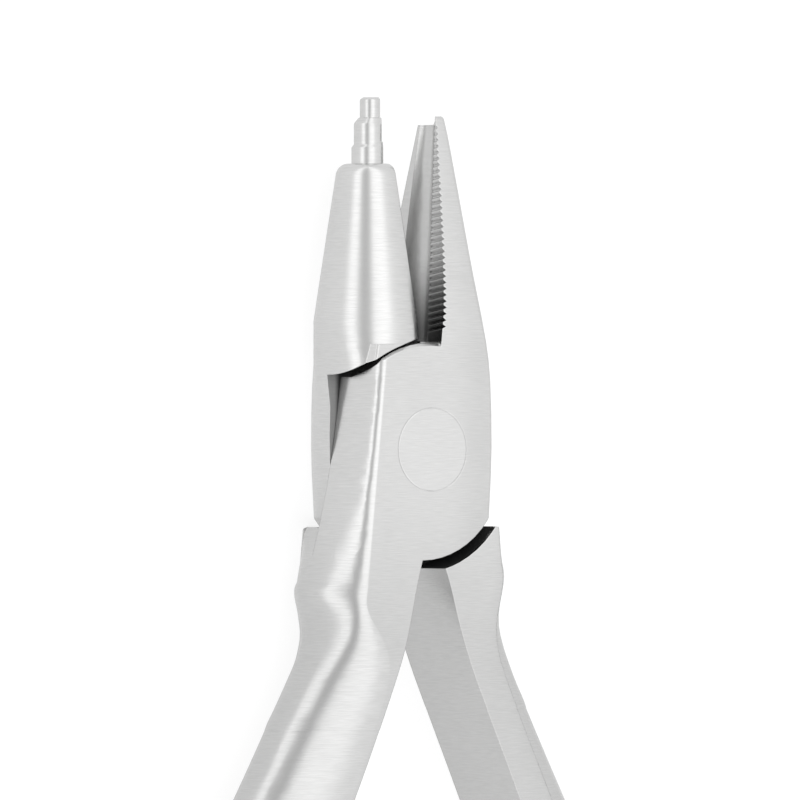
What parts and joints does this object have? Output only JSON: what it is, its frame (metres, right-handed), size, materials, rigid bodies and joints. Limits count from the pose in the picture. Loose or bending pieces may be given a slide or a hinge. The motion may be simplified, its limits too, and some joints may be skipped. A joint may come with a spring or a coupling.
{
  "type": "wire-bending pliers",
  "caption": "Steel orthodontic loop-forming pliers with a lap joint, a stepped round beak, a grooved and serrated beak, a flush rivet and bowed handles.",
  "frame": {"origin": "on the rivet's axis, in the plane of the back face the tool lies on", "axes": "+Z along the rivet's axis out of the front face, +Y towards the beaks, +X to the right seen from the front"},
  "size_m": [0.0537, 0.1301, 0.0078],
  "materials": {
    "satin_steel": "satin, finely brushed across the flat faces",
    "rivet_steel": "satin, ground flush with the joint"
  },
  "bodies": {
    "stepped_side": {"stepped_half": "satin_steel", "pivot_rivet": "rivet_steel"},
    "serrated_side": {"serrated_half": "satin_steel"}
  },
  "joints": [
    {"name": "pivot", "type": "hinge", "parent": "stepped_side", "child": "serrated_side", "pos_m": [0, 0, 0.0039], "axis": [0, 0, 1], "range_deg": [-18, 10.7]}
  ]
}
